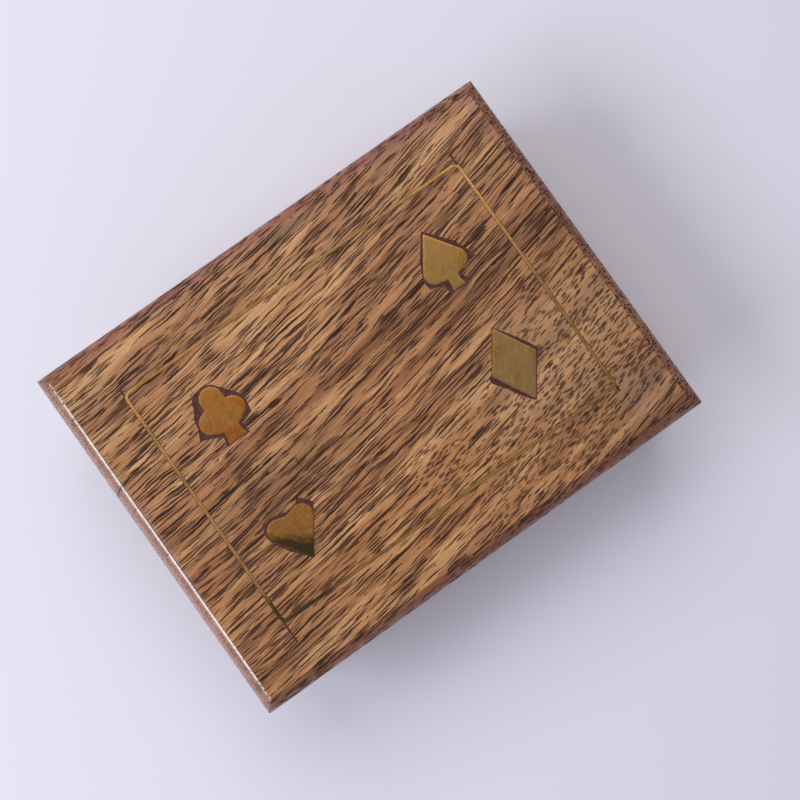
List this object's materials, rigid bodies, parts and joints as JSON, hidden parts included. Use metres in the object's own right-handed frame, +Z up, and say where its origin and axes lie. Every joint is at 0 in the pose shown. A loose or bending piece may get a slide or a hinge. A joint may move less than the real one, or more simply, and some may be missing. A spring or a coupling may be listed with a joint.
{
  "type": "playing card box",
  "caption": "Hardwood box for a deck of playing cards, with moulded lid and base boards, brass suit and border inlay in the lid, and a drawer that slides out of the long front.",
  "frame": {"origin": "middle of the underside of the base board, on the surface that the box stands on", "axes": "+X along the box's length to the right, +Y towards its back, +Z up; the drawer opens towards -Y"},
  "size_m": [0.127, 0.096, 0.0445],
  "materials": {
    "board_wood": "oiled and waxed open-pored hardwood",
    "case_wood": "oiled and waxed open-pored hardwood",
    "drawer_wood": "sanded and lightly oiled hardwood",
    "drawer_floor_wood": "plain sanded board",
    "brass_inlay": "sanded flush, brushed and tarnished",
    "dark_resin": "dark red-brown filler resin, sanded flush",
    "steel_pin": "dull steel panel pins",
    "felt": "short red felt"
  },
  "bodies": {
    "case": {"top_panel": "board_wood", "base_panel": "board_wood", "case_side_left": "case_wood", "case_side_right": "case_wood", "case_back": "case_wood", "border_wire": "brass_inlay", "groove_fill": "dark_resin", "base_pins": "steel_pin", "corner_pins": "steel_pin", "inlay_club": "brass_inlay", "inlay_spade": "brass_inlay", "inlay_heart": "brass_inlay", "inlay_diamond": "brass_inlay", "fill_club": "dark_resin", "fill_spade": "dark_resin", "fill_heart": "dark_resin", "fill_diamond": "dark_resin"},
    "drawer": {"drawer_front": "drawer_wood", "drawer_side_left": "drawer_wood", "drawer_side_right": "drawer_wood", "drawer_back": "drawer_wood", "drawer_bottom": "drawer_floor_wood", "drawer_pins": "steel_pin", "drawer_lining": "felt"}
  },
  "joints": [
    {"name": "drawer_slide", "type": "slide", "parent": "case", "child": "drawer", "axis": [0, -1, 0], "range_m": [0, 0.07]}
  ]
}
